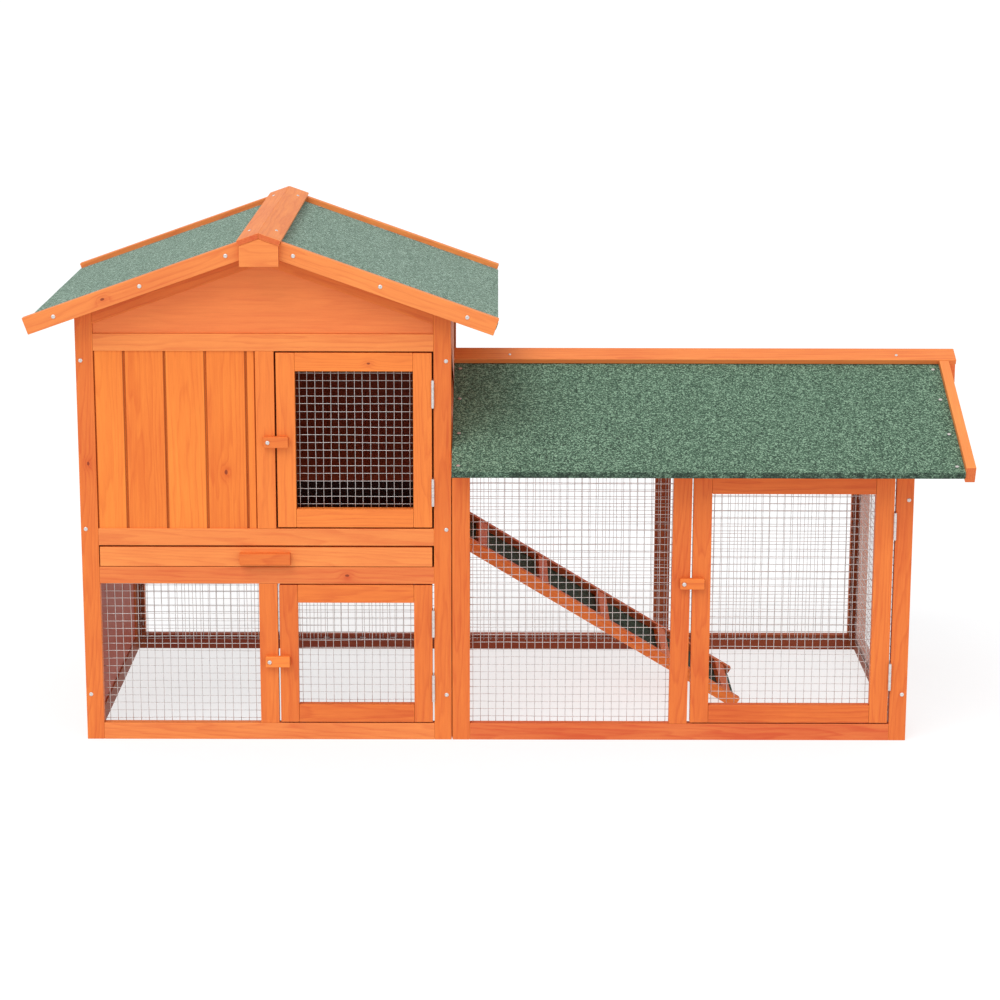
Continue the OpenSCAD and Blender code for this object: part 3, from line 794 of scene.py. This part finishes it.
def screw_profile(rim, height, length):
    """Point, shank and domed head, from the tip up."""
    shank, seat, steps = rim * 0.5, -0.05 * MM, 12
    tip = [(0.1 * MM, -length), (shank * 0.55, 5 * MM - length), (shank, 8 * MM - length)]
    angles = [math.pi / 2 * k / steps for k in range(steps)]
    dome = [(rim * math.cos(a), height * math.sin(a)) for a in angles]
    return tip + [(shank, seat), (rim, seat)] + dome + [(0.02 * MM, height)]


def tack_profile(rim, height, length):
    """Clout tack: slim shank and a broad head with a soft rim."""
    shank = rim * 0.3
    return [
        (0.05 * MM, -length), (shank, 2 * MM - length), (shank, 0), (rim * 0.94, 0), (rim, height * 0.3),
        (rim, height * 0.6), (rim * 0.9, height * 0.92), (rim * 0.4, height), (0.02 * MM, height),
    ]


# ---- Turn buttons, tray pan ----


ARC_STEPS = 6


def rounded_outline(low, high, radius, inset):
    """Points round the rectangle from low to high, seen from the front, with rounded corners."""
    points = []
    corners = [(high.x, high.z, 0), (low.x, high.z, 90), (low.x, low.z, 180), (high.x, low.z, 270)]
    for x, z, turn in corners:
        cx = x - math.copysign(radius, x - (low.x + high.x) / 2)
        cz = z - math.copysign(radius, z - (low.z + high.z) / 2)
        for k in range(ARC_STEPS + 1):
            a = math.radians(turn + 90 * k / ARC_STEPS)
            points.append((cx + (radius - inset) * math.cos(a), cz + (radius - inset) * math.sin(a)))
    return points


def turn_button(node, joint, material, tone):
    """A wooden button with softened edges, bored for its screw."""
    low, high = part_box(node)
    pivot = Vector(next(j["pos_m"] for j in frame["joints"] if j["name"] == joint))
    rng = random.Random(node)
    bm = new_bmesh()
    wear_and_highlight = bm.faces.layers.float["edge"]
    bore, corner, soft = 2.05 * MM, 1.9 * MM, 1.4 * MM
    # From the front to the back: the inset, the depth, and whether the band before it is a rounded edge, lightened
    # with wear and a painted highlight.
    layers = [
        (soft * 0.9, low.y, 0), (soft * 0.3, low.y + soft * 0.3, 1), (0, low.y + soft, 1),
        (0, high.y - soft, 0), (soft * 0.3, high.y - soft * 0.3, 1), (soft * 0.9, high.y, 1),
    ]
    rings = []
    for inset, y, _ in layers:
        outline = rounded_outline(low, high, corner, inset)
        rings.append([bm.verts.new((x, y, z)) for x, z in outline])
    holes = []
    for y in (low.y, high.y):
        ring = []
        for v in rings[0]:
            away = Vector((v.co.x - pivot.x, 0, v.co.z - pivot.z)).normalized() * bore
            ring.append(bm.verts.new((pivot.x + away.x, y, pivot.z + away.z)))
        holes.append(ring)
    count = len(rings[0])
    bands = [(rings[i], rings[i + 1], layers[i + 1][2]) for i in range(len(rings) - 1)]
    bands += [(holes[0], rings[0], 0), (rings[-1], holes[1], 0), (holes[1], holes[0], 0)]
    for first, second, edge in bands:
        for i in range(count):
            j = (i + 1) % count
            bm.faces.new((first[i], first[j], second[j], second[i]))[wear_and_highlight] = edge
    bm.normal_update()
    board = Board(bm.verts[:])
    board.along, board.across, board.thick = X, Z, Y
    board.span = [Board.reach(bm.verts, axis) for axis in (X, Z, Y)]
    set_grain(bm, bm.verts, board, rng, tone, ())
    mark_ends(bm, lambda face: board)
    name = node + "_timber"
    piece = finish_object(name, to_mesh(bm, name), material, node)
    soften_normals(piece)
    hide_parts(node)


def tray_sheet(node, material):
    """The folded pan with a rolled rim on its three free sides."""
    bm = clean_copy(node)
    bevel_edges(bm, 0.5 * MM)
    mesh = to_mesh(bm, "tray_pan_sheet")
    pan = finish_object("tray_pan_sheet", mesh, material, node)
    soften_normals(pan)
    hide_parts(node)
    low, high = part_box(node)
    wall, roll, corner = 0.75 * MM, 1.7 * MM, 8 * MM
    left, right, far = low.x + wall, high.x - wall, high.y - wall
    near = low.y + 2 * MM
    path = [Vector((left, near, high.z))]
    for cx, turn in ((left + corner, 180), (right - corner, 90)):
        for k in range(ARC_STEPS + 1):
            a = math.radians(turn - 90 * k / ARC_STEPS)
            path.append(Vector((cx + corner * math.cos(a), far - corner + corner * math.sin(a), high.z)))
    path.append(Vector((right, near, high.z)))
    shape = Shape()
    shape.tube(path, Z, roll, 12)
    finish_object("tray_pan_rim", shape.mesh("tray_pan_rim"), material, node)


# ---- Build ----

make_camera()
make_studio()

FIR = wood_material("stained_fir", stain(240, 137, 61), stain(192, 76, 34))
PALE_FIR = wood_material("pale_stained_fir", stain(242, 150, 78), stain(200, 84, 44))
BOARD = wood_material(
    "stained_boards", stain(244, 142, 58), stain(202, 84, 32), ring_width=3.4 * MM, inside=BOARD_INSIDE_SHADE
)
PLY = wood_material("stained_panel", stain(246, 148, 78), stain(212, 100, 54), ring_width=9 * MM, figure=0.5)
FELT = felt_material("green_felt", stain(22, 34, 30), stain(70, 98, 79), stain(150, 182, 156))
# A lighter copy of the felt for the house roof: painted sheen and light on its slopes, which catch the light at a
# grazing angle.
SHEEN_LIT_FELT = felt_material("sheen_lit_felt", stain(44, 62, 56), stain(104, 130, 114), stain(184, 206, 192))
RAMP_FELT = felt_material("ramp_felt", stain(14, 28, 24), stain(38, 62, 52), stain(84, 118, 98))
WIRE = metal_material("galvanised_wire", stain(188, 184, 182), stain(226, 222, 220), 0.46)
ZINC = metal_material("bright_zinc", stain(196, 192, 190), stain(230, 226, 224), 0.36, 500, 0.75)
# Painted shade: the tray pan is dark brown to stand in for the shade on the cabin floor.
SHEET = metal_material("tray_shade_brown", stain(72, 42, 36), stain(92, 56, 48), 0.5, 90, 0.0)

# How dark each node's stain is, from 0 to 1, judged from the photo.
# The back rails' high values partly paint the shade that falls on them under the roof.
TIMBERS = {
    "front_left_post": 0.55, "front_right_post": 0.55, "house_front_rails": 0.46, "centre_stiles": 0.4,
    "house_rafters": 0.6, "house_back_posts": 0.5, "house_back_rails": 0.85, "left_side_frame": 0.6,
    "right_side_frame": 0.7, "tray_runners": 0.7, "house_barge_boards": 0.4, "house_ridge_cap": 0.45,
    "house_ridge_blocks": 0.4, "run_front_posts": 0.6, "run_front_rails": 0.95, "run_back_posts": 0.4,
    "run_back_rails": 0.85, "run_side_frame": 0.45, "run_rafters": 0.8, "run_barge_boards": 0.35,
    "run_ridge_cap": 0.35, "run_ridge_block": 0.4, "upper_door_frame": 0.35, "lower_door_frame": 0.6,
    "run_door_frame": 0.68, "tray_front": 0.35, "tray_handle": 0.6, "ramp_rails": 0.55,
}
# Knots listed by board number.
KNOTS = {
    "front_left_post": {0: (0.643, 0.55, 2.6)},
    "house_front_rails": {1: (0.74, 0.5, 2.8)},
    "run_front_rails": {0: (0.216, 0.5, 2.4)},
    "house_barge_boards": {0: (0.33, 0.5, 2.8)},
    "front_boards": {3: (0.32, 0.47, 3.4)},
}
# What single boards add to their node's darkness.
SHIFTS = {"house_front_rails": {0: 0.15, 1: 0.35, 2: -0.1}}
# The outward direction of the frames that get painted shade on their inner faces.
OUTWARD = {
    "house_back_posts": Y, "house_back_rails": Y, "run_back_posts": Y, "run_back_rails": Y,
    "run_side_frame": X, "run_rafters": X, "left_side_frame": -X, "right_side_frame": X,
}
PALE = {
    "house_barge_boards", "run_barge_boards", "house_ridge_cap", "run_ridge_cap", "house_ridge_blocks",
    "run_ridge_block", "tray_front", "house_front_rails", "run_front_rails",
}
# Rows of matchboards: how dark they are, and the way their vee-jointed face looks.
BOARDS = {
    "front_boards": (0.46, -Y), "back_boards": (0.55, Y),
    "left_side_boards": (0.6, -X), "right_side_boards": (0.6, X),
}
# Meshes on the -X or -Y side of their frame. All the others are on its +Y side.
AWAY = {"house_back_mesh": -1, "run_back_mesh": -1, "run_side_mesh": -1}
PHILLIPS = cross_recess(1.7 * MM, 0.5 * MM, 0.9 * MM)


def keep_share(low_share, high_share):
    """Squeezes a board's thickness to the given shares of it, counted from its underside. Its foot
    stays level."""

    def reshape(board, verts):
        low, high = board.span[2]
        size = high - low
        foot = min(v.co.z for v in verts)
        for v in verts:
            on_foot = v.co.z < foot + 0.1 * MM
            share = (v.co.dot(board.thick) - low) / size
            v.co += board.thick * (low_share + share * (high_share - low_share) - share) * size
            if on_foot:
                v.co -= board.along * (v.co.z - foot) / board.along.z

    return reshape


def run_front_fit(board, verts):
    """Opens the seam where the run meets the house, and leans the stile beside the run's door towards it."""
    low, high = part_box("run_front_posts")
    centre = centre_of(verts).x
    leans = low.x + 0.1 < centre < high.x - 0.1 and board.along.z > 0.9
    seam, lean = 1.5 * MM, 3 * MM
    for v in verts:
        if v.co.x < low.x + 0.1 * MM and v.co.y < low.y + 0.1 * MM:
            v.co.x += seam
        if leans:
            v.co.x += lean * (v.co.z - low.z) / (high.z - low.z)


def inner_shade(node):
    """How far the faces of a node's timbers take the inner colour, a painted shade."""
    if node in OUTWARD:
        return turned_from(OUTWARD[node])
    return facing_middle(node) if node == "ramp_rails" else None


for node, tone in TIMBERS.items():
    stock = PALE_FIR if node in PALE else FIR
    fit = run_front_fit if node in ("run_front_posts", "run_front_rails") else None
    timber(node, stock, tone, KNOTS.get(node, {}), SHIFTS.get(node, {}), fit, inner_shade(node))
for node in ("gable_panels", "run_gable_panel", "house_roof_boards", "run_roof_boards"):
    timber(node, PLY, 0.6)
for node, (tone, outward) in BOARDS.items():
    matchboards(node, BOARD, tone, outward, KNOTS.get(node, {}))
for button in ("upper", "lower", "run"):
    turn_button(f"{button}_turn_button", f"{button}_button_turn", FIR, 0.35)

timber("ramp_deck", FIR, 0.6, reshape=keep_share(0, 0.72), name="ramp_deck_board")
felt_sheets("ramp_deck", RAMP_FELT, "ramp_deck_felt", keep_share(0.74, 1.0), 18 * MM)
felt_sheets("house_roof_felt", SHEEN_LIT_FELT, "house_roof_felt_sheets")
felt_sheets("run_roof_felt", FELT, "run_roof_felt_sheets")

for node in BODY:
    if node.endswith("_mesh"):
        welded_mesh(node, WIRE, AWAY.get(node, 1))

for node in ("frame_screws", "button_screws"):
    fixings(node, ZINC, node + "_round_head", screw_profile, PHILLIPS)
fixings("felt_tacks", ZINC, "felt_tacks_clout_head", tack_profile)
tray_sheet("tray_pan", SHEET)

# The hinges and the ramp's fittings stay the CAD's own pieces, in zinc and with soft edges.
for node, cad in frame["nodes"].items():
    if not cad.hide_render:
        cad.data.materials.clear()
        cad.data.materials.append(ZINC)
        cad.modifiers.new("joined_corners", "WELD").merge_threshold = WELD
        soft = cad.modifiers.new("soft_edges", "BEVEL")
        soft.width = 0.15 * MM
        soft.segments = 2
        soft.limit_method = "ANGLE"
        soft.angle_limit = SHARP
